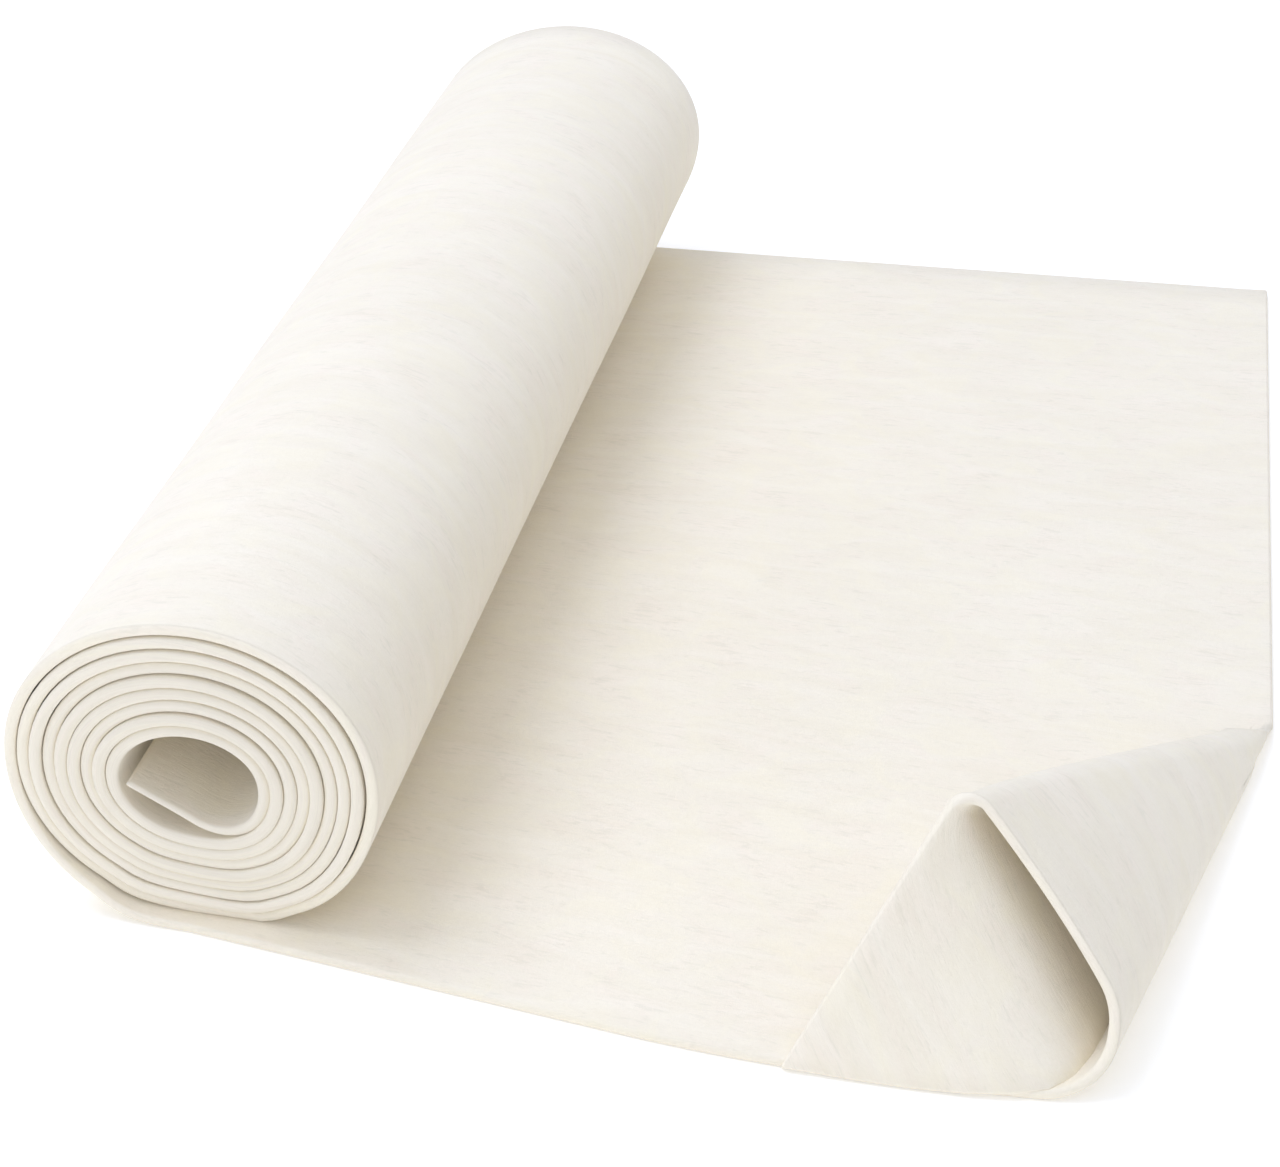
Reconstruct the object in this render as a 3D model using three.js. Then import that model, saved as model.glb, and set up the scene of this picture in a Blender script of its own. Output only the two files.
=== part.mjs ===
// Roll of thick white felt, partly unrolled, with one corner curled up and over.
// Millimetres, +Z up: the loose sheet lies on z = 0, the roll runs along Y, the sheet unrolls toward +X.
import * as THREE from "three";

// Cloth
const THICK = 3.1;
const HALF = THICK / 2;
const SHEET_WIDTH = 450;
const FREE_LENGTH = 280;

// Place of the part: the middle of its box stands on x = 0, y = 0
const MIDDLE_X = 110.52;
const MIDDLE_Y = 220.15;

// The loose sheet's edges, straight but not quite square
const FRONT_EDGE_Y = 3.5;
const FAR_DRIFT = 0.0194;

// The roll, wound outward from its tail: n counts the turns from the loose sheet inward
const TURNS = 8.75;
const STEPS_PER_TURN = 48;
const ROLL_HALF_WIDTH = 55;
const ROLL_HALF_HEIGHT = 51.4;
const WIDTH_PER_TURN = 3.9;
const HEIGHT_PER_TURN = 3.92;
const MIDDLE_RIGHT_PER_TURN = -0.09;
const MIDDLE_DOWN_PER_TURN = 0.315;
const LEAN = 0.12;
const FLAT_SPOT = 0.7;
const FLAT_SPOT_COS = 0.84;
const FAR_END_WIDER = 1.06;
const FAR_END_LOWER = 0.945;
const NEAR_AXIS_X = 4.2;
const FAR_AXIS_X = -13;

// The end faces of the roll stand a little back from the sheet's edge, and each turn a little off the last
const FACE_SET_BACK = 4.6;
const SET_BACK_TURNS = 0.36;
const TURN_UNEVEN = 0.55;

// The tail inside the core: a tight bend, then a straight end
const TAIL_BEND_RADIUS = 14.3;
const TAIL_BEND_DEGREES = 117.5;
const TAIL_BEND_STEPS = 12;
const TAIL_STRAIGHT = 21.7;
const TAIL_STRAIGHT_STEPS = 3;

// The curled corner: its mouth stands on the front edge and narrows to a point on the right edge
const CURL_FOOT = { x: 175.6, y: -15.5 };
const CURL_TIP = { x: 291.6, y: 159.2 };
const CURL_ACROSS = new THREE.Vector3(0.9971, 0.076, 0);
const CURL_UP = new THREE.Vector3(-0.0278, 0.3653, 0.9305);
const MOUTH = {
  floor: { across: 80.5, up: 0, radius: 20.5 },
  side: { across: 82.1, up: 29.8, radius: 27 },
  crest: { across: 42.7, up: 80, radius: 4.8 },
};
const LEAST_BEND_RADIUS = 3;
const FOOT_GAP = 0.9;
const CURL_STEPS = { floor: 3, floorBend: 6, sideBend: 3, rightWall: 4, crestBend: 8, leftWall: 5 };

// The left wall's foot starts at the mouth's left end and sweeps to the right behind the front edge
const FRONT_FOOT = 3.3;
const REAR_FOOT = 60;
const FOOT_SWEEP = 0.14;
const SWEEP_POWER = 3.5;

// Toward the tip the left wall shrinks to a lip, and the curl opens into a narrow strip
const CLOSED_SHARE = 0.42;
const OPENING_SHARE = 0.17;
const LEAST_LEFT_WALL = 3;
const TIP_STRIP = 8;
const CURL_ROWS = [
  1, 0.99, 0.98, 0.967, 0.95, 0.93, 0.9, 0.86, 0.75, 0.64, 0.52, 0.42, 0.34, 0.27, 0.215, 0.17,
  0.14, 0.11, 0.08, 0.05, 0.025, 0,
];
const REAR_ROWS = 4;
const FLAT_STEPS = 5;

const smooth = (t) => t * t * (3 - 2 * t);
const clamp01 = (t) => Math.min(1, Math.max(0, t));
const lerp = (a, b, t) => a + (b - a) * t;

// How far the outer turns are pressed flat where they meet the table.
function pressed(cosine, n) {
  const nearBottom = smooth(clamp01((cosine - FLAT_SPOT_COS) / (1 - FLAT_SPOT_COS)));
  const share = FLAT_SPOT * (1 - n / TURNS) * nearBottom;
  return 1 - (1 - cosine) * (1 - share);
}

// The felt's middle line across the roll, measured from the roll's middle.
function windingPoint(n) {
  const angle = 2 * Math.PI * n;
  const across = ROLL_HALF_WIDTH - WIDTH_PER_TURN * n;
  const high = ROLL_HALF_HEIGHT - HEIGHT_PER_TURN * n;
  const x = -across * Math.sin(angle) + MIDDLE_RIGHT_PER_TURN * n;
  const z = -high * pressed(Math.cos(angle), n) - MIDDLE_DOWN_PER_TURN * n;
  return { x, z, n };
}

// The whole line from the tail's tip outward to where the felt meets the table.
function rollLine() {
  const line = [];
  const start = windingPoint(TURNS);
  const bendX = start.x - TAIL_BEND_RADIUS;
  const bend = THREE.MathUtils.degToRad(TAIL_BEND_DEGREES);
  const endX = bendX + TAIL_BEND_RADIUS * Math.cos(bend);
  const endZ = start.z - TAIL_BEND_RADIUS * Math.sin(bend);
  for (let i = TAIL_STRAIGHT_STEPS; i > 0; i--) {
    const run = (TAIL_STRAIGHT * i) / TAIL_STRAIGHT_STEPS;
    line.push({ x: endX - run * Math.sin(bend), z: endZ - run * Math.cos(bend), n: TURNS });
  }
  for (let i = TAIL_BEND_STEPS; i > 0; i--) {
    const a = (bend * i) / TAIL_BEND_STEPS;
    line.push({
      x: bendX + TAIL_BEND_RADIUS * Math.cos(a),
      z: start.z - TAIL_BEND_RADIUS * Math.sin(a),
      n: TURNS,
    });
  }
  const steps = Math.round(TURNS * STEPS_PER_TURN);
  for (let i = steps; i > 0; i--) line.push(windingPoint(i / STEPS_PER_TURN));
  line.push(windingPoint(0));
  return line;
}

// The set-back of a turn's edge from the sheet's own edge.
function setBack(n) {
  const share = smooth(clamp01(n / SET_BACK_TURNS));
  return share * (FACE_SET_BACK + TURN_UNEVEN * Math.sin(2.3 * n) * clamp01(n));
}

// A point of the roll line at the near end (far = 0) or the far end (far = 1).
function rollPoint(p, far) {
  const x = lerp(NEAR_AXIS_X, FAR_AXIS_X, far) + (p.x + LEAN * p.z) * lerp(1, FAR_END_WIDER, far);
  const z = HALF + (p.z + ROLL_HALF_HEIGHT) * lerp(1, FAR_END_LOWER, far);
  const edge = far ? SHEET_WIDTH : FRONT_EDGE_Y;
  return new THREE.Vector3(x, edge + setBack(p.n), z);
}

// Heading of the line from a point that touches a circle, with the circle on its left (1) or right (-1).
function tangent(from, circle, side) {
  const across = circle.across - from.across;
  const up = circle.up - from.up;
  return Math.atan2(up, across) - side * Math.asin(circle.radius / Math.hypot(across, up));
}

// Points of a left-hand bend round its middle, from one heading to another.
function arc(middle, radius, start, end, steps) {
  return Array.from({ length: steps + 1 }, (_, k) => {
    const a = lerp(start, end, k / steps);
    return { across: middle.across + radius * Math.sin(a), up: middle.up - radius * Math.cos(a) };
  });
}

// The bend that rounds a corner between two headings.
function rounded(corner, start, end, steps) {
  const back = corner.radius * Math.tan((end - start) / 2);
  const middle = {
    across: corner.across - back * Math.cos(start) - corner.radius * Math.sin(start),
    up: corner.up - back * Math.sin(start) + corner.radius * Math.cos(start),
  };
  return arc(middle, corner.radius, start, end, steps);
}

// Points of a straight between two points, without its own ends.
function between(from, to, steps) {
  return Array.from({ length: steps - 1 }, (_, k) => ({
    across: lerp(from.across, to.across, (k + 1) / steps),
    up: lerp(from.up, to.up, (k + 1) / steps),
  }));
}

// The curl's middle line across one row, at a share of the mouth's size: floor, right bend, right wall,
// crest bend and left wall.
function mouthLine(share) {
  const [floor, side, crest] = [MOUTH.floor, MOUTH.side, MOUTH.crest].map((c) => ({
    across: c.across * share,
    up: c.up * share,
    radius: Math.max(c.radius * share, LEAST_BEND_RADIUS),
  }));
  const closed = smooth(clamp01((share - OPENING_SHARE) / (CLOSED_SHARE - OPENING_SHARE)));
  const swept = closed * (1 - Math.pow(1 - clamp01((1 - share) / FOOT_SWEEP), SWEEP_POWER));
  const foot = { across: lerp(FRONT_FOOT, REAR_FOOT, swept) * share, up: (HALF + FOOT_GAP) / CURL_UP.z };
  crest.up -= crest.radius;
  const start = { across: 0, up: 0 };
  const steep = Math.atan2(side.up - floor.up, side.across - floor.across);
  const rise = tangent(side, crest, 1);
  const fall = Math.PI + tangent(foot, crest, -1);
  const floorBend = rounded(floor, 0, steep, CURL_STEPS.floorBend);
  const sideBend = rounded(side, steep, rise, CURL_STEPS.sideBend).slice(1);
  const crestBend = arc(crest, crest.radius, rise, fall, CURL_STEPS.crestBend);
  const rightEnd = sideBend[sideBend.length - 1];
  const crestEnd = crestBend[crestBend.length - 1];
  const wall = Math.hypot(foot.across - crestEnd.across, foot.up - crestEnd.up);
  const down = lerp(LEAST_LEFT_WALL / wall, 1, closed);
  const end = { across: lerp(crestEnd.across, foot.across, down), up: lerp(crestEnd.up, foot.up, down) };
  return [
    start,
    ...between(start, floorBend[0], CURL_STEPS.floor),
    ...floorBend,
    ...sideBend,
    ...between(rightEnd, crestBend[0], CURL_STEPS.rightWall),
    ...crestBend,
    ...between(crestEnd, end, CURL_STEPS.leftWall),
    end,
  ];
}

// A line laid out flatter, all its headings and lengths scaled down.
function unrolled(line, curled, size) {
  const laid = [{ across: 0, up: 0 }];
  let heading = 0;
  for (let i = 1; i < line.length; i++) {
    const across = line[i].across - line[i - 1].across;
    const up = line[i].up - line[i - 1].up;
    let change = Math.atan2(up, across) - heading;
    while (change < -Math.PI) change += 2 * Math.PI;
    heading += change;
    const run = Math.hypot(across, up) * size;
    const last = laid[i - 1];
    laid.push({
      across: last.across + run * Math.cos(heading * curled),
      up: last.up + run * Math.sin(heading * curled),
    });
  }
  return laid;
}

// Toward its tip the curl opens into a narrow flat strip.
function curlLine(share) {
  const line = mouthLine(Math.max(share, OPENING_SHARE));
  if (share >= OPENING_SHARE) return line;
  const runs = line.slice(1).map((p, i) => Math.hypot(p.across - line[i].across, p.up - line[i].up));
  const whole = runs.reduce((sum, run) => sum + run, 0);
  const curled = share / OPENING_SHARE;
  return unrolled(line, smooth(curled), lerp(TIP_STRIP / whole, 1, curled));
}

// One row of the felt from the roll's foot to the right edge, as points on its middle surface.
function looseRow(rootPoint, fold, line) {
  const row = [];
  for (let i = 1; i <= FLAT_STEPS; i++) row.push(rootPoint.clone().lerp(fold, i / FLAT_STEPS));
  for (const p of line.slice(1)) {
    row.push(fold.clone().addScaledVector(CURL_ACROSS, p.across).addScaledVector(CURL_UP, p.up));
  }
  return row;
}

function looseRows(nearRoot, farRoot) {
  const rows = [];
  const tip = new THREE.Vector3(CURL_TIP.x, CURL_TIP.y, HALF).addScaledVector(CURL_ACROSS, -TIP_STRIP);
  const foot = new THREE.Vector3(CURL_FOOT.x, CURL_FOOT.y, HALF);
  const farRight = new THREE.Vector3(FREE_LENGTH - TIP_STRIP, SHEET_WIDTH + FAR_DRIFT * FREE_LENGTH, HALF);
  const down = (y) => (y - foot.y) / (farRight.y - foot.y);
  for (const share of CURL_ROWS) {
    const fold = tip.clone().lerp(foot, share);
    rows.push(looseRow(nearRoot.clone().lerp(farRoot, down(fold.y)), fold, curlLine(share)));
  }
  for (let i = 1; i <= REAR_ROWS; i++) {
    const fold = tip.clone().lerp(farRight, i / REAR_ROWS);
    const root = nearRoot.clone().lerp(farRoot, down(fold.y));
    rows.push(looseRow(root, fold, curlLine(0)));
  }
  return rows;
}

// Unit normals of a grid of points, toward the sheet's upper side.
function gridNormals(rows) {
  return rows.map((row, r) =>
    row.map((_, c) => {
      const along = row[Math.min(c + 1, row.length - 1)].clone().sub(row[Math.max(c - 1, 0)]);
      const back = rows[Math.min(r + 1, rows.length - 1)][c].clone().sub(rows[Math.max(r - 1, 0)][c]);
      return along.cross(back).normalize();
    }),
  );
}

const positions = [];
const triangles = [];
const addPoint = (p) => positions.push(p.x - MIDDLE_X, p.y - MIDDLE_Y, p.z) / 3 - 1;
const addFace = (a, b, c) => triangles.push(a, b, c);

// A point's two vertices, on the upper and the lower side of the felt.
function bothSides(p, normal, half = HALF) {
  return {
    upper: addPoint(p.clone().addScaledVector(normal, half)),
    lower: addPoint(p.clone().addScaledVector(normal, -half)),
  };
}

function sheetQuad(a, b, c, d) {
  addFace(a.upper, b.upper, c.upper);
  addFace(a.upper, c.upper, d.upper);
  addFace(a.lower, c.lower, b.lower);
  addFace(a.lower, d.lower, c.lower);
}

// A strip of the cut edge between two neighbouring points.
function rimQuad(a, b) {
  addFace(a.lower, b.lower, b.upper);
  addFace(a.lower, b.upper, a.upper);
}

function addRoll(line) {
  const ends = [0, 1].map((far) => line.map((p) => rollPoint(p, far)));
  return ends.map((points) =>
    points.map((p, i) => {
      const ahead = points[Math.min(i + 1, points.length - 1)];
      const behind = points[Math.max(i - 1, 0)];
      const last = i === points.length - 1;
      const normal = new THREE.Vector3(behind.z - ahead.z, 0, ahead.x - behind.x).normalize();
      return bothSides(p, last ? new THREE.Vector3(0, 0, 1) : normal);
    }),
  );
}

function build() {
  const line = rollLine();
  const [near, far] = addRoll(line);
  for (let i = 0; i < near.length - 1; i++) {
    sheetQuad(near[i], near[i + 1], far[i + 1], far[i]);
    rimQuad(near[i], near[i + 1]);
    rimQuad(far[i + 1], far[i]);
  }
  rimQuad(far[0], near[0]);

  const root = line[line.length - 1];
  const rows = looseRows(rollPoint(root, 0), rollPoint(root, 1));
  const normals = gridNormals(rows);
  const grid = rows.map((row, r) => row.map((p, c) => bothSides(p, normals[r][c])));
  const nearRoot = near[near.length - 1];
  const farRoot = far[far.length - 1];
  const turnRow = Math.floor(grid.length / 2);
  for (let r = 0; r < grid.length - 1; r++) {
    const from = r < turnRow ? nearRoot : farRoot;
    addFace(from.upper, grid[r][0].upper, grid[r + 1][0].upper);
    addFace(from.lower, grid[r + 1][0].lower, grid[r][0].lower);
    for (let c = 0; c < grid[r].length - 1; c++) {
      sheetQuad(grid[r][c], grid[r][c + 1], grid[r + 1][c + 1], grid[r + 1][c]);
    }
  }
  addFace(nearRoot.upper, grid[turnRow][0].upper, farRoot.upper);
  addFace(nearRoot.lower, farRoot.lower, grid[turnRow][0].lower);
  const lastRow = grid[grid.length - 1];
  rimQuad(nearRoot, grid[0][0]);
  rimQuad(lastRow[0], farRoot);
  for (let c = 0; c < lastRow.length - 1; c++) {
    rimQuad(grid[0][c], grid[0][c + 1]);
    rimQuad(lastRow[c + 1], lastRow[c]);
  }
  for (let r = 0; r < grid.length - 1; r++) {
    rimQuad(grid[r][lastRow.length - 1], grid[r + 1][lastRow.length - 1]);
  }
}

build();

const geometry = new THREE.BufferGeometry();
geometry.setAttribute("position", new THREE.Float32BufferAttribute(positions, 3));
geometry.setIndex(triangles);
geometry.computeVertexNormals();

const material = new THREE.MeshStandardMaterial({ color: 0xf0ece4, roughness: 0.95, metalness: 0 });
const felt = new THREE.Mesh(geometry, material);
felt.name = "felt";

const part = new THREE.Group();
part.name = "felt_roll";
part.add(felt);

export default part;
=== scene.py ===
"""Roll of thick white felt, partly unrolled, with one corner curled up and over."""

import math

import bpy
import numpy as np
from mathutils import Matrix, Vector


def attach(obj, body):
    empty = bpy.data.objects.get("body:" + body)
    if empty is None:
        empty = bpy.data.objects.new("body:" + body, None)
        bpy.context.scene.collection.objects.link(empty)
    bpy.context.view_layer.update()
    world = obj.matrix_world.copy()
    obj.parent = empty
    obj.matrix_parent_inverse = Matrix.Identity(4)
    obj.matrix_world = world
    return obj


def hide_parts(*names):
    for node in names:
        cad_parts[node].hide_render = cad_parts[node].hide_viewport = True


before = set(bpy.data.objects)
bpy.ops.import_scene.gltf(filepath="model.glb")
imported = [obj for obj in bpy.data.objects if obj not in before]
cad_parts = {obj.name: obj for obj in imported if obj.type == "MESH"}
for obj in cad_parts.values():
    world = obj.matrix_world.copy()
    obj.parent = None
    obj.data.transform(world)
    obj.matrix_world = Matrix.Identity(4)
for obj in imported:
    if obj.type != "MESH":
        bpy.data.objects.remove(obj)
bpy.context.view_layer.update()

MM = 0.001

# The photograph's view, solved from the felt's straight edges
CAMERA_PLACE = (0.1517, -0.6819, 0.4579)
CAMERA_AHEAD = (-0.2200, 0.8027, -0.5544)
CAMERA_RIGHT = (0.9694, 0.2430, -0.0330)
SENSOR_WIDTH = 36
LENS = 67.87

# Soft studio light. Each lamp: name, place, target, size in metres, power in watts
LAMPS = (
    ("top", (0.15, 0.1, 2.6), (0, 0, 0), 2.8, 12),
    ("key", (-0.8, 0.05, 2.0), (0, 0, 0), 1.4, 17),
    ("fill", (0.3, -1.7, 1.0), (0, 0, 0.05), 1.2, 1.8),
    ("side", (-1.0, -1.3, 0.6), (0, 0, 0.05), 1.0, 3.2),
)
LAMP_COLOUR = (0.90, 0.965, 1.16)
SKY_COLOUR = (0.935, 0.975, 1.085, 1)
SKY_STRENGTH = 0.61

# The felt's fibres. Each layer: scale along and across the cloth, turn in degrees, detail, distortion
FIBRES = {
    "streaks": ((26, 110), 3, 4, 0.9),
    "mottle": ((55, 75), -35, 3, 0.7),
    "patches": ((9, 14), 20, 2, 0.4),
    "wisps": ((120, 720), 5, 2, 0.8),
    "slant_wisps": ((150, 640), -17, 2, 1.0),
    "long_fibre": ((300, 2300), 4, 2, 1.5),
    "cross_fibre": ((2000, 330), -24, 2, 1.5),
    "slant_fibre": ((380, 2100), 38, 2, 1.5),
}
FIBRE_ROUGHNESS = 0.55

# Layers added up by weight: clumps of wisps, the fine grain and the relief
CLUMPS = (("wisps", 0.5), ("slant_wisps", 0.3), ("mottle", 0.35))
GRAIN = (("long_fibre", 0.4), ("cross_fibre", 0.25), ("slant_fibre", 0.35))
RELIEF = (("streaks", 0.25), ("mottle", 0.35), ("clumps", -0.6), ("grain", 0.6))

# Colours by a layer's value; all but the first are multiplied onto it
STREAK_COLOURS = ((0.3, (0.945, 0.865, 0.705, 1)), (0.7, (0.970, 0.895, 0.745, 1)))
MOTTLE_COLOURS = ((0.32, (1.0, 1.0, 0.972, 1)), (0.5, (0.99, 0.99, 0.985, 1)), (0.68, (1.0, 0.988, 0.99, 1)))
PATCH_COLOURS = ((0.3, (0.982, 0.982, 0.980, 1)), (0.7, (1, 1, 1, 1)))
CLUMP_COLOURS = ((0.63, (1, 1, 1, 1)), (0.76, (0.935, 0.945, 0.935, 1)))
GRAIN_COLOURS = ((0.36, (0.965, 0.962, 0.955, 1)), (0.62, (1, 1, 1, 1)))

FELT_BUMP_STRENGTH = 0.5
FELT_BUMP_DISTANCE = 0.0006
FELT_ROUGHNESS = 0.95
FELT_SPECULAR = 0.15
FELT_SHEEN = 0.25
FELT_SHEEN_ROUGHNESS = 0.5

FLOOR_COLOUR = (0.95, 0.935, 0.89, 1)
FLOOR_GLOW = 0.2
FLOOR_ROUGHNESS = 0.9
FLOOR_SPECULAR = 0.1
FLOOR_HALF_SIZE = 3.0
FLOOR_DROP = 0.0001

# Cloth, in millimetres like every size below
HALF = 1.55
SHEET_WIDTH = 450
FREE_LENGTH = 280

# Place of the part in the frame
MIDDLE_X = 110.52
MIDDLE_Y = 220.15

# The loose sheet's edges
FRONT_EDGE_Y = 3.5
FAR_DRIFT = 0.0194

# The roll: n counts the turns from the loose sheet inward
TURNS = 8.75
ROLL_HALF_WIDTH = 55
ROLL_HALF_HEIGHT = 51.4
WIDTH_PER_TURN = 3.84
HEIGHT_PER_TURN = 3.92
MIDDLE_RIGHT_PER_TURN = -0.02
MIDDLE_DOWN_PER_TURN = 0.315
LEAN = 0.12
FLAT_SPOT = 0.7
FLAT_SPOT_COS = 0.84
FAR_END_WIDER = 1.06
FAR_END_LOWER = 0.945
NEAR_AXIS_X = 4.2
FAR_AXIS_X = -13

# The roll's outer turns sag a little fuller on their lower right, and rest on the sheet
BULGE = 4.2
BULGE_DEGREES = -50
BULGE_POWER = 8
BULGE_START = 0.5
BULGE_BLEND = 0.25

# Half thicknesses of the wound felt, which fills the space between the turns toward the core
WOUND_BLEND = 0.4
OUTER_HALF = 1.72
INNER_HALF = 1.82
TIGHT_TURNS = (2.6, 4.2)
TAIL_END_HALF = 1.0

# The outer turn's soft swells: height, wave lengths and where they fade out
OUTER_SWELL = 0.16
SWELL_ALONG, SWELL_BEND, SWELL_ACROSS = 31, 57, 43
SWELL_BEND_SIZE, SWELL_PHASE = 1.3, 0.8
RIPPLE_ALONG, RIPPLE_ACROSS, RIPPLE_SIZE = 17, 29, 0.6
SWELL_END = 1.05
SWELL_FADE = 0.1

# The roll's faces are set back from the sheet's edges, each turn a little differently
FACE_SET_BACK = 4.6
SET_BACK_TURNS = 0.26
TURN_UNEVEN = 0.55
UNEVEN_PER_TURN = 2.3
INNER_STEPS_PER_TURN = 66
OUTER_STEPS_PER_TURN = 132
OUTER_TURNS = 1.25

# The tail inside the core
TAIL_BEND_RADIUS = 14.3
TAIL_BEND_DEGREES = 117.5
TAIL_BEND_STEPS = 24
TAIL_STRAIGHT = 21
TAIL_STRAIGHT_STEPS = 10

# The curled corner: its mouth stands on the front edge and narrows to a point on the right edge
CURL_FOOT = (175.6, -15.5)
CURL_TIP = (291.6, 159.2)
CURL_ACROSS = np.array((0.9971, 0.076, 0.0))
CURL_UP = np.array((-0.0278, 0.3653, 0.9305))

# The mouth's corners: across, up and bend radius
MOUTH_FLOOR = (80.5, 0.0, 18.5)
MOUTH_SIDE = (82.1, 26.0, 22.0)
MOUTH_CREST = (42.7, 80, 4.8)
CREST_DROP = 2.6
CREST_DROP_POWER = 6
CREST_LEAD = math.radians(1)
CREST_WIDENS = 6
WALL_BOW_DEGREES = (4, 13)

# The left wall's foot: its place across the mouth, from the front row to the rows behind
FRONT_FOOT = -0.4
REAR_FOOT = 72
TIP_FOOT = 60
TIP_FOOT_SHARES = (0.35, 0.75)
FOOT_SWEEP = 0.14
SWEEP_POWER = 3.5

# The foot on the front edge, and the front edge's own turn and flare there
EDGE_SWEEP = (0.2, 1.0)
EDGE_SINK = (0.1, 0.5)
EDGE_FORWARD = 1.2
EDGE_DOWN = 2.3
EDGE_TURN = 0.187
EDGE_ROUNDED = 50
EDGE_ROUNDED_SHARE = 0.3
EDGE_FLARE = 1.5
EDGE_FLARE_SHARE = 0.02
EDGE_FLARE_UP = 0.4

# Limits that keep the curl whole as it narrows, and its steps along and across
LEAST_BEND_RADIUS = 3
LEAST_LEFT_WALL = 3
LEAST_REACH = 0.001
FOOT_GAP = 0.1
FLOOR_STEPS, FLOOR_BEND_STEPS, SIDE_BEND_STEPS = 10, 14, 8
RIGHT_WALL_STEPS, CREST_BEND_STEPS, LEFT_WALL_STEPS = 12, 16, 14
CLOSED_SHARE = 0.42
OPENING_SHARE = 0.17
TIP_STRIP = 8
SWEEP_ROWS = 11
SWEEP_SPACING = 1.6
WIDE_ROWS = 11
TIP_ROWS = 10
REAR_ROWS = 18
FLAT_STEPS = 44

# The cut edge: how far its rounding stands out, by height across the felt's thickness
EDGE_HEIGHTS = (0.86, 0.5, 0.0, -0.5, -0.86)
EDGE_OUT = (0.3, 0.62, 0.75, 0.62, 0.3)
EDGE_STEP = HALF / 3


def smooth(t):
    t = np.clip(t, 0, 1)
    return t * t * (3 - 2 * t)


def lerp(a, b, t):
    return a + (b - a) * t


# ---- camera and light


def add_camera():
    ahead = Vector(CAMERA_AHEAD).normalized()
    right = Vector(CAMERA_RIGHT)
    right = (right - ahead * right.dot(ahead)).normalized()
    up = right.cross(ahead)
    data = bpy.data.cameras.new("camera")
    data.sensor_width = SENSOR_WIDTH
    data.lens = LENS
    camera = bpy.data.objects.new("camera", data)
    turn = Matrix((right, up, -ahead)).transposed().to_4x4()
    camera.matrix_world = Matrix.Translation(Vector(CAMERA_PLACE)) @ turn
    bpy.context.scene.collection.objects.link(camera)
    bpy.context.scene.camera = camera


def add_lamp(name, place, target, size, power):
    data = bpy.data.lights.new(name, "AREA")
    data.shape = "DISK"
    data.size = size
    data.energy = power
    data.color = LAMP_COLOUR
    light = bpy.data.objects.new(name, data)
    light.location = place
    light.rotation_euler = (Vector(target) - Vector(place)).to_track_quat("-Z", "Y").to_euler()
    bpy.context.scene.collection.objects.link(light)


def add_studio():
    world = bpy.data.worlds.new("studio")
    world.use_nodes = True
    sky = world.node_tree.nodes["Background"]
    sky.inputs["Color"].default_value = SKY_COLOUR
    sky.inputs["Strength"].default_value = SKY_STRENGTH
    bpy.context.scene.world = world
    bpy.context.scene.view_settings.view_transform = "Standard"
    for lamp in LAMPS:
        add_lamp(*lamp)


# ---- materials


def node_maker(material):
    material.use_nodes = True
    tree = material.node_tree

    def make(kind, **settings):
        node = tree.nodes.new(kind)
        for key, value in settings.items():
            setattr(node, key, value)
        return node

    return tree, make


def fibres(tree, make, uv, scale, turn, detail, distortion):
    """Noise drawn out along one direction of the cloth, as its fibres are."""
    mapping = make("ShaderNodeMapping")
    mapping.inputs["Rotation"].default_value = (0, 0, math.radians(turn))
    mapping.inputs["Scale"].default_value = (*scale, 1)
    noise = make("ShaderNodeTexNoise", noise_dimensions="2D")
    noise.inputs["Scale"].default_value = 1
    noise.inputs["Detail"].default_value = detail
    noise.inputs["Roughness"].default_value = FIBRE_ROUGHNESS
    noise.inputs["Distortion"].default_value = distortion
    tree.links.new(uv, mapping.inputs["Vector"])
    tree.links.new(mapping.outputs["Vector"], noise.inputs["Vector"])
    return noise.outputs["Fac"]


def ramp(tree, make, value, stops):
    node = make("ShaderNodeValToRGB")
    node.color_ramp.elements[0].position, node.color_ramp.elements[0].color = stops[0]
    node.color_ramp.elements[1].position, node.color_ramp.elements[1].color = stops[-1]
    for position, colour in stops[1:-1]:
        node.color_ramp.elements.new(position).color = colour
    tree.links.new(value, node.inputs["Fac"])
    return node.outputs["Color"]


def multiply(tree, make, a, b):
    node = make("ShaderNodeMix", data_type="RGBA", blend_type="MULTIPLY")
    node.inputs["Factor"].default_value = 1
    tree.links.new(a, node.inputs[6])
    tree.links.new(b, node.inputs[7])
    return node.outputs[2]


def sum_of(tree, make, parts):
    """The weighted sum of several values."""
    total = None
    for value, weight in parts:
        node = make("ShaderNodeMath", operation="MULTIPLY_ADD")
        node.inputs[1].default_value = weight
        tree.links.new(value, node.inputs[0])
        if total is None:
            node.inputs[2].default_value = 0
        else:
            tree.links.new(total, node.inputs[2])
        total = node.outputs[0]
    return total


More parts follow.
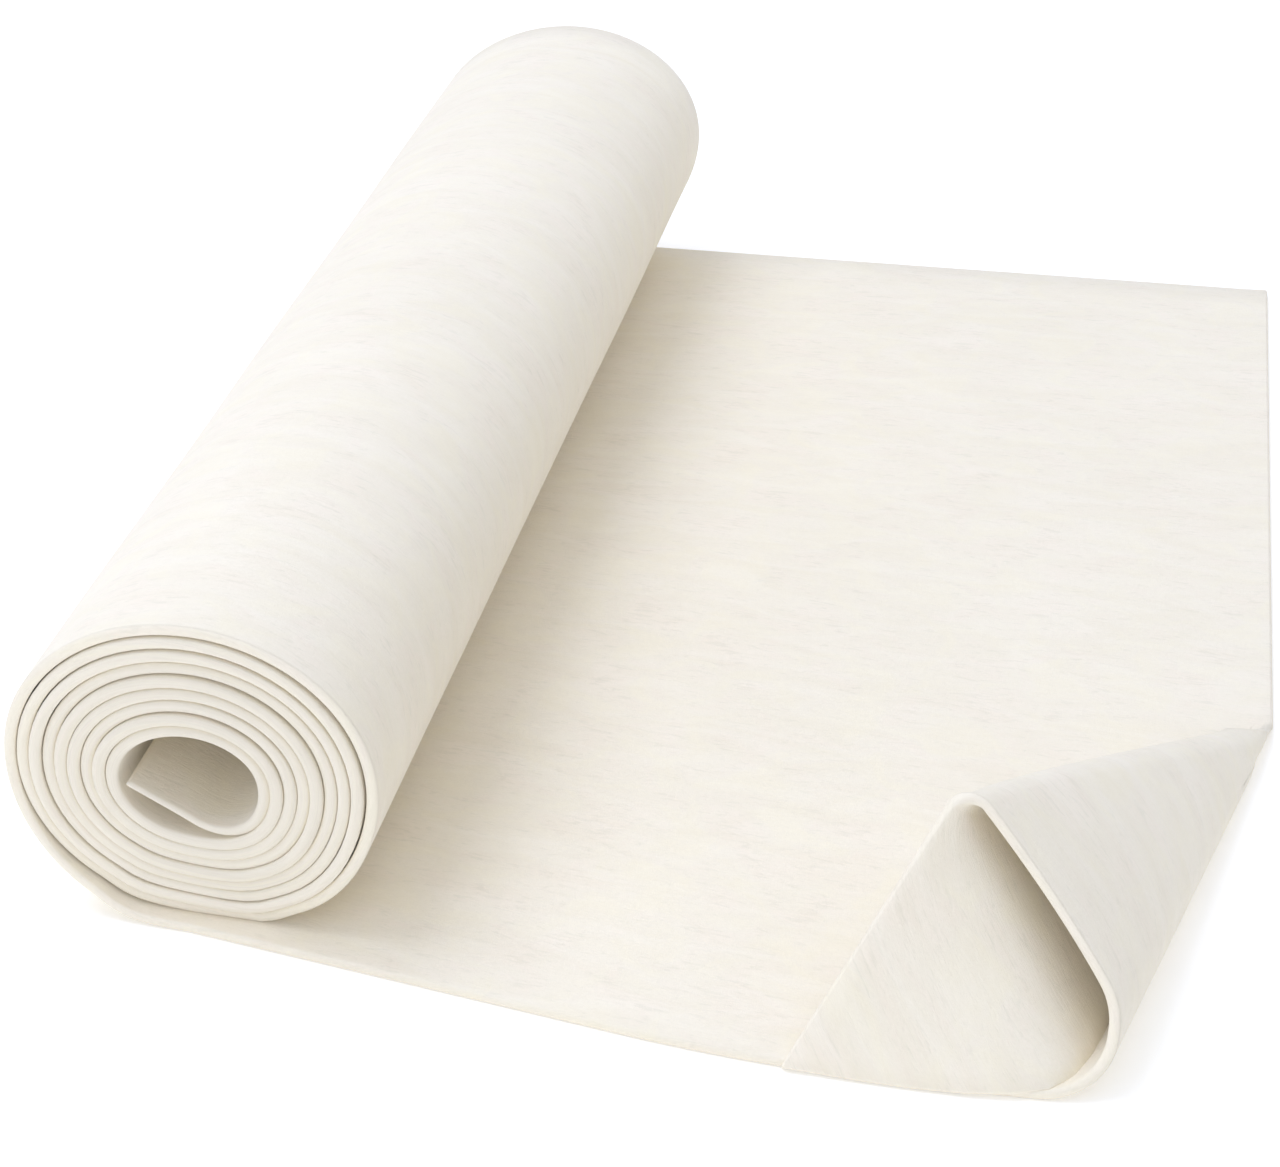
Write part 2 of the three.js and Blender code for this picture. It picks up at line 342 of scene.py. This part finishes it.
def felt_material():
    """Off-white felt: long soft streaks, small clumps and fine crossing fibres."""
    material = bpy.data.materials.new("felt")
    tree, make = node_maker(material)
    shader = tree.nodes["Principled BSDF"]
    uv = make("ShaderNodeUVMap", uv_map="cloth").outputs["UV"]

    layers = {name: fibres(tree, make, uv, *values) for name, values in FIBRES.items()}
    layers["clumps"] = sum_of(tree, make, [(layers[name], weight) for name, weight in CLUMPS])
    layers["grain"] = sum_of(tree, make, [(layers[name], weight) for name, weight in GRAIN])

    colour = ramp(tree, make, layers["streaks"], STREAK_COLOURS)
    for name, stops in (
        ("mottle", MOTTLE_COLOURS),
        ("patches", PATCH_COLOURS),
        ("grain", GRAIN_COLOURS),
        ("clumps", CLUMP_COLOURS),
    ):
        colour = multiply(tree, make, colour, ramp(tree, make, layers[name], stops))
    tree.links.new(colour, shader.inputs["Base Color"])

    height = sum_of(tree, make, [(layers[name], weight) for name, weight in RELIEF])
    bump = make("ShaderNodeBump")
    bump.inputs["Strength"].default_value = FELT_BUMP_STRENGTH
    bump.inputs["Distance"].default_value = FELT_BUMP_DISTANCE
    tree.links.new(height, bump.inputs["Height"])
    tree.links.new(bump.outputs["Normal"], shader.inputs["Normal"])

    shader.inputs["Roughness"].default_value = FELT_ROUGHNESS
    shader.inputs["Specular IOR Level"].default_value = FELT_SPECULAR
    shader.inputs["Sheen Weight"].default_value = FELT_SHEEN
    shader.inputs["Sheen Roughness"].default_value = FELT_SHEEN_ROUGHNESS
    return material


def floor_material():
    material = bpy.data.materials.new("floor")
    tree, make = node_maker(material)
    shader = tree.nodes["Principled BSDF"]
    shader.inputs["Base Color"].default_value = FLOOR_COLOUR
    shader.inputs["Emission Color"].default_value = (1, 1, 1, 1)
    shader.inputs["Emission Strength"].default_value = FLOOR_GLOW
    shader.inputs["Roughness"].default_value = FLOOR_ROUGHNESS
    shader.inputs["Specular IOR Level"].default_value = FLOOR_SPECULAR
    return material


# ---- the felt's middle surface


def pressed(cosine, n):
    """How far the outer turns are pressed flat where they meet the table."""
    near_bottom = smooth((cosine - FLAT_SPOT_COS) / (1 - FLAT_SPOT_COS))
    return 1 - (1 - cosine) * (1 - FLAT_SPOT * (1 - n / TURNS) * near_bottom)


def winding(n):
    angle = 2 * np.pi * n
    across = ROLL_HALF_WIDTH - WIDTH_PER_TURN * n
    high = ROLL_HALF_HEIGHT - HEIGHT_PER_TURN * n
    x = -across * np.sin(angle) + MIDDLE_RIGHT_PER_TURN * n
    z = -high * pressed(np.cos(angle), n) - MIDDLE_DOWN_PER_TURN * n
    return x, z


def roll_line():
    """x, z and n along the felt from the tail's tip outward to where it meets the table."""
    start_x, start_z = winding(np.array(TURNS))
    bend_x = start_x - TAIL_BEND_RADIUS
    bend = math.radians(TAIL_BEND_DEGREES)
    run = np.linspace(TAIL_STRAIGHT, 0, TAIL_STRAIGHT_STEPS, endpoint=False)
    straight_x = bend_x + TAIL_BEND_RADIUS * math.cos(bend) - run * math.sin(bend)
    straight_z = start_z - TAIL_BEND_RADIUS * math.sin(bend) - run * math.cos(bend)
    a = np.linspace(bend, 0, TAIL_BEND_STEPS, endpoint=False)
    bend_line = (bend_x + TAIL_BEND_RADIUS * np.cos(a), start_z - TAIL_BEND_RADIUS * np.sin(a))
    inner_steps = round((TURNS - OUTER_TURNS) * INNER_STEPS_PER_TURN)
    inner = np.linspace(TURNS, OUTER_TURNS, inner_steps, endpoint=False)
    outer = np.linspace(OUTER_TURNS, 0, round(OUTER_TURNS * OUTER_STEPS_PER_TURN) + 1)
    n = np.concatenate([inner, outer])
    wound_x, wound_z = winding(n)
    tail_n = np.full(len(run) + len(a), TURNS)
    return (
        np.concatenate([straight_x, bend_line[0], wound_x]),
        np.concatenate([straight_z, bend_line[1], wound_z]),
        np.concatenate([tail_n, n]),
    )


def set_back(n):
    share = smooth(n / SET_BACK_TURNS)
    return share * (FACE_SET_BACK + TURN_UNEVEN * np.sin(UNEVEN_PER_TURN * n) * np.clip(n, 0, 1))


def roll_side(line, far):
    """The roll's line at its near end (far = 0) or its far end (far = 1)."""
    x, z, n = line
    around = np.arctan2(z, x) - math.radians(BULGE_DEGREES)
    fuller = np.maximum(0, np.cos(around)) ** BULGE_POWER * smooth((n - BULGE_START) / BULGE_BLEND)
    bulge = 1 + BULGE / ROLL_HALF_WIDTH * fuller
    x, z = x * bulge, z * bulge
    z = np.where(n > BULGE_START, np.maximum(z, 2 * HALF - ROLL_HALF_HEIGHT + FOOT_GAP), z)
    out_x = lerp(NEAR_AXIS_X, FAR_AXIS_X, far) + (x + LEAN * z) * lerp(1, FAR_END_WIDER, far)
    out_z = HALF + (z + ROLL_HALF_HEIGHT) * lerp(1, FAR_END_LOWER, far)
    edge = SHEET_WIDTH if far else FRONT_EDGE_Y
    return np.stack([out_x, edge + set_back(n), out_z], 1)


def tangent(point, middle, radius, side):
    """Heading of the line from a point that touches a circle, which lies to its left (1) or right (-1)."""
    across, up = middle[0] - point[0], middle[1] - point[1]
    return math.atan2(up, across) - side * math.asin(radius / math.hypot(across, up))


def arc(middle, radius, start, end, steps):
    """Points of a left-hand bend from one heading to another, without its first point."""
    headings = np.linspace(start, end, steps + 1)[1:]
    return np.stack([middle[0] + radius * np.sin(headings), middle[1] - radius * np.cos(headings)], 1)


def rounded(corner, start, end, steps):
    """The bend that rounds a corner, from its entry to its exit."""
    back = corner[2] * math.tan((end - start) / 2)
    entry = np.array((corner[0] - back * math.cos(start), corner[1] - back * math.sin(start)))
    middle = entry + corner[2] * np.array((-math.sin(start), math.cos(start)))
    return entry, arc(middle, corner[2], start, end, steps)


def straight(start, end, steps):
    return lerp(start, end, np.linspace(0, 1, steps + 1)[1:, None])


def bowed(start, end, start_heading, end_heading, steps):
    """Points of a smooth curve between two points and two headings, without its first point."""
    t = np.linspace(0, 1, steps + 1)[1:, None]
    reach = math.hypot(*(end - start))
    leave = reach * np.array((math.cos(start_heading), math.sin(start_heading)))
    arrive = reach * np.array((math.cos(end_heading), math.sin(end_heading)))
    turn = leave * t * (1 - t) ** 2 - arrive * t ** 2 * (1 - t)
    return lerp(start, end, smooth(t)) + turn


def mouth_line(share):
    """The curl's middle line across one row: floor, right bend, right wall, crest bend and left wall."""
    floor, side, crest = (
        (c[0] * share, c[1] * share, max(c[2] * share, LEAST_BEND_RADIUS))
        for c in (MOUTH_FLOOR, MOUTH_SIDE, MOUTH_CREST)
    )
    crest_radius = crest[2] + CREST_WIDENS * 4 * share * (1 - share)
    crest = (crest[0], crest[1] - CREST_DROP * share ** CREST_DROP_POWER - crest_radius, crest_radius)
    strip = TIP_STRIP * (1 - share)
    floor, side, crest = ((c[0] + strip, *c[1:]) for c in (floor, side, crest))
    closed = smooth((share - OPENING_SHARE) / (CLOSED_SHARE - OPENING_SHARE))
    swept = closed * (1 - (1 - min(1, (1 - share) / FOOT_SWEEP)) ** SWEEP_POWER)
    start, end = TIP_FOOT_SHARES
    rear_foot = lerp(TIP_FOOT, REAR_FOOT, smooth((share - start) / (end - start)))
    foot_across = lerp(FRONT_FOOT, rear_foot, swept) * share + strip
    past = max(0, foot_across - floor[0] + floor[2])
    foot = (foot_across, (HALF + FOOT_GAP) / CURL_UP[2] + floor[2] - math.sqrt(floor[2] ** 2 - past ** 2))
    steep = math.atan2(side[1] - floor[1], side[0] - floor[0])
    rise = tangent(side, crest, crest[2], 1)
    fall = tangent(foot, crest, crest[2], -1) % (2 * math.pi) + math.pi
    bow = math.radians(lerp(*WALL_BOW_DEGREES, min(1, (1 - share) / FOOT_SWEEP)))
    floor_end, floor_bend = rounded(floor, 0, steep, FLOOR_BEND_STEPS)
    _, side_bend = rounded(side, steep, rise - bow, SIDE_BEND_STEPS)
    crest_bend = arc(crest, crest[2], rise + bow - CREST_LEAD, fall, CREST_BEND_STEPS + 1)
    wall = foot - crest_bend[-1]
    foot = crest_bend[-1] + wall * lerp(LEAST_LEFT_WALL / math.hypot(*wall), 1, closed)
    return np.concatenate([
        [(0.0, 0.0)],
        straight(np.zeros(2), floor_end, FLOOR_STEPS),
        floor_bend,
        side_bend,
        bowed(side_bend[-1], crest_bend[0], rise - bow, rise + bow, RIGHT_WALL_STEPS),
        crest_bend[1:],
        straight(crest_bend[-1], foot, LEFT_WALL_STEPS),
    ])


def curl_line(share):
    """Toward its tip the curl opens into a narrow flat strip, and its height and width run out evenly."""
    line = mouth_line(max(share, OPENING_SHARE))
    if share >= OPENING_SHARE:
        return line
    width, height = line.max(axis=0)
    steps = np.diff(line, axis=0)
    runs = np.hypot(steps[:, 0], steps[:, 1])
    headings = np.unwrap(np.arctan2(steps[:, 1], steps[:, 0]))
    curled = share / OPENING_SHARE
    runs = runs * lerp(TIP_STRIP / runs.sum(), 1, curled)
    headings = headings * curled
    laid = np.stack([runs * np.cos(headings), runs * np.sin(headings)], 1)
    opened = np.concatenate([[(0.0, 0.0)], np.cumsum(laid, axis=0)])
    reached = np.maximum(opened.max(axis=0), LEAST_REACH)
    return opened * np.array((lerp(TIP_STRIP, width, curled), height * curled)) / reached


def fold_rows():
    """Each row's point on the curl's foot line and its share of the mouth's size, front to back."""
    shares = np.concatenate([
        1 - FOOT_SWEEP * np.linspace(0, 1, SWEEP_ROWS) ** SWEEP_SPACING,
        np.linspace(1 - FOOT_SWEEP, OPENING_SHARE, WIDE_ROWS)[1:],
        np.linspace(OPENING_SHARE, 0, TIP_ROWS + 1)[1:],
    ])
    tip = np.array((*CURL_TIP, HALF)) - CURL_ACROSS * TIP_STRIP
    foot = np.array((*CURL_FOOT, HALF))
    far_right = np.array((FREE_LENGTH - TIP_STRIP, SHEET_WIDTH + FAR_DRIFT * FREE_LENGTH, HALF))
    rows = [(lerp(tip, foot, share), share) for share in shares]
    rows += [(lerp(tip, far_right, i / REAR_ROWS), 0.0) for i in range(1, REAR_ROWS + 1)]
    return rows


def middle_surface():
    """Points in rows front to back by columns from the tail to the right edge, and each column's n."""
    line = roll_line()
    near, far = roll_side(line, 0), roll_side(line, 1)
    rows = fold_rows()
    front_y, back_y = rows[0][0][1], rows[-1][0][1]
    grid = []
    for fold, share in rows:
        back = (fold[1] - front_y) / (back_y - front_y)
        wound = lerp(near, far, back)
        flat = [lerp(wound[-1], fold, i / FLAT_STEPS) for i in range(1, FLAT_STEPS + 1)]
        curl = np.array([fold + CURL_ACROSS * p[0] + CURL_UP * p[1] for p in curl_line(share)[1:]])
        curl[-LEFT_WALL_STEPS:] += foot_at_edge(share, fold[1] - front_y)
        curl[-CREST_BEND_STEPS - LEFT_WALL_STEPS:] += edge_flare(share)
        row = np.concatenate([wound, flat, curl])
        row[:, 1] += edge_rounding(row[:, 0] - fold[0], share)
        grid.append(row)
    grid = np.array(grid)
    n = np.concatenate([line[2], np.full(grid.shape[1] - len(line[2]), -1.0)])
    return grid, n


def edge_rounding(across, share):
    """How far back the front edge lies where its turn at the curl's foot is rounded off."""
    back = EDGE_TURN * np.maximum(0, EDGE_ROUNDED - np.abs(across)) ** 2 / (4 * EDGE_ROUNDED)
    return back * smooth(1 - (1 - share) / EDGE_ROUNDED_SHARE)


def edge_flare(share):
    """Shifts that turn the left wall's front edge a little outward, growing over the crest."""
    flare = EDGE_FLARE * max(0, 1 - (1 - share) / EDGE_FLARE_SHARE) ** 2
    over = np.concatenate([np.linspace(0, 1, CREST_BEND_STEPS), np.ones(LEFT_WALL_STEPS)])
    return flare * over[:, None] * (EDGE_FLARE_UP * CURL_UP - CURL_ACROSS)


def foot_at_edge(share, behind):
    """Shifts of the left wall's points that keep its foot on the front edge before it turns back."""
    swept = (1 - share) / FOOT_SWEEP
    held, sunk = (1 - smooth((swept - start) / (end - start)) for start, end in (EDGE_SWEEP, EDGE_SINK))
    down = np.linspace(0, 1, LEFT_WALL_STEPS + 1)[1:, None]
    return down * np.array((0, held * (-EDGE_FORWARD - behind), sunk * -EDGE_DOWN))


def unit(vectors):
    return vectors / np.linalg.norm(vectors, axis=-1, keepdims=True)


def grid_frame(grid):
    """Directions along and across the cloth, and the normal toward the sheet's upper side."""
    along = np.gradient(grid, axis=1)
    normal = unit(np.cross(along, np.gradient(grid, axis=0)))
    return unit(along), unit(np.cross(normal, along)), normal


def swells(run, y, n):
    """Soft uneven swells of the roll's outer turn, in millimetres off the middle surface."""
    swell = np.sin(run / SWELL_ALONG + SWELL_BEND_SIZE * np.sin(y / SWELL_BEND))
    swell = swell * np.sin(y / SWELL_ACROSS + SWELL_PHASE)
    swell = swell + RIPPLE_SIZE * np.sin(run / RIPPLE_ALONG - y / RIPPLE_ACROSS)
    return OUTER_SWELL * swell * smooth(n / SWELL_FADE) * smooth((SWELL_END - n) / SWELL_FADE)


def cloth_lengths(grid, root):
    """Each point's distance along the cloth from the column where the roll meets the table."""
    steps = np.linalg.norm(np.diff(grid, axis=1), axis=2)
    run = np.concatenate([np.zeros((len(grid), 1)), np.cumsum(steps, axis=1)], axis=1)
    return run - run[:, root:root + 1]


def half_thickness(n):
    """Half the felt's thickness: the inner turns fill the space between them, and the tail's end is thin."""
    start, end = TIGHT_TURNS
    wound = lerp(OUTER_HALF, INNER_HALF, smooth((n - start) / (end - start)))
    half = lerp(HALF, wound, smooth(n / WOUND_BLEND))
    tail = TAIL_BEND_STEPS + TAIL_STRAIGHT_STEPS
    half[:tail] = lerp(TAIL_END_HALF, INNER_HALF, smooth(np.linspace(0, 1, tail)))
    return half


# ---- the felt


def with_ends(grid, along, half):
    """The grid and its half thickness with the rounding of the cut ends added as further columns."""
    rounding = list(zip(EDGE_OUT[:2], EDGE_HEIGHTS[:2]))
    for out, height in rounding:
        tail, tip = grid[:, :1], grid[:, -1:]
        grid = np.concatenate([tail - along[:, :1] * out, grid, tip + along[:, -1:] * out], axis=1)
        half = np.concatenate([half[:1] * height, half, half[-1:] * height])
    return grid, half


def felt_mesh(material):
    grid, n = middle_surface()
    root = int(np.argmin(np.abs(n)))
    run = cloth_lengths(grid, root)
    along, _, normal = grid_frame(grid)
    grid = grid + normal * swells(run, grid[..., 1], n)[..., None]
    grid, half = with_ends(grid, along, half_thickness(n))
    _, back, normal = grid_frame(grid)
    lift = normal * half[:, None]

    upper, lower = grid + lift, grid - lift
    rim = list(zip(EDGE_HEIGHTS, EDGE_OUT))
    rear = [grid[-1] + lift[-1] * height + back[-1] * out for height, out in rim]
    front = [grid[0] + lift[0] * height - back[0] * out for height, out in rim[::-1]]
    ring = np.concatenate([upper, rear, lower[::-1], front])
    index = np.arange(ring.shape[0] * ring.shape[1]).reshape(ring.shape[:2])
    here, there = index, np.roll(index, -1, axis=0)
    quads = np.stack([here[:, :-1], here[:, 1:], there[:, 1:], there[:, :-1]], -1)
    faces = quads.reshape(-1, 4).tolist()
    faces += end_cap(index[:, 0], len(grid))
    faces += [face[::-1] for face in end_cap(index[:, -1], len(grid))]

    points = ring.reshape(-1, 3) - (MIDDLE_X, MIDDLE_Y, 0)
    mesh = bpy.data.meshes.new("felt_cloth")
    mesh.from_pydata((points * MM).tolist(), [], faces)
    mesh.polygons.foreach_set("use_smooth", np.ones(len(faces), bool))
    add_cloth_uv(mesh, ring, root + len(EDGE_OUT) // 2, cloth_widths(grid))
    mesh.materials.append(material)
    mesh.update()

    felt = bpy.data.objects.new("felt_cloth", mesh)
    bpy.context.scene.collection.objects.link(felt)
    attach(felt, "root")
    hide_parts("felt")


def cloth_widths(grid):
    """Each point's distance across the cloth: its place along Y, or real lengths where the curl sweeps."""
    anchor = SWEEP_ROWS - 1
    steps = np.linalg.norm(np.diff(grid[:anchor + 1], axis=0), axis=2)
    swept = np.cumsum(steps[::-1], axis=0)[::-1]
    width = grid[:, :1, 1] + np.zeros(grid.shape[:2])
    width[:anchor] = width[anchor] - swept
    return width


def add_cloth_uv(mesh, ring, root, width):
    """Real lengths along the cloth and round its edges, in metres."""
    u = cloth_lengths(ring, root)
    rim = np.arange(1, len(EDGE_OUT) + 1)[:, None] * EDGE_STEP
    turned = width[-1] + 2 * HALF + (width[-1] - width[::-1])
    v = np.concatenate([width, width[-1] + rim, turned, width[0] - rim[::-1]])
    uv = np.stack([u, v], -1).reshape(-1, 2) * MM
    corners = np.empty(len(mesh.loops), np.int64)
    mesh.loops.foreach_get("vertex_index", corners)
    mesh.uv_layers.new(name="cloth").data.foreach_set("uv", uv[corners].reshape(-1))


def end_cap(ring, row_count):
    """The faces that close one end of the felt, between its upper and its lower points."""
    rim = len(EDGE_OUT)
    upper, rear = ring[:row_count], ring[row_count:row_count + rim]
    lower, front = ring[row_count + rim:2 * row_count + rim], ring[2 * row_count + rim:]
    half = rim // 2
    above = np.concatenate([front[half + 1:], upper, rear[:half]])
    below = np.concatenate([front[:half][::-1], lower[::-1], rear[half + 1:][::-1]])
    quads = np.stack([above[:-1], above[1:], below[1:], below[:-1]], -1).tolist()
    return [[front[half], above[0], below[0]], *quads, [rear[half], below[-1], above[-1]]]


def add_floor(material):
    size = FLOOR_HALF_SIZE
    mesh = bpy.data.meshes.new("floor")
    corners = [(-size, -size), (size, -size), (size, size), (-size, size)]
    mesh.from_pydata([(x, y, -FLOOR_DROP) for x, y in corners], [], [(0, 1, 2, 3)])
    mesh.materials.append(material)
    floor = bpy.data.objects.new("floor", mesh)
    bpy.context.scene.collection.objects.link(floor)
    return floor


add_camera()
add_studio()
add_floor(floor_material())
felt_mesh(felt_material())

bpy.context.view_layer.update()
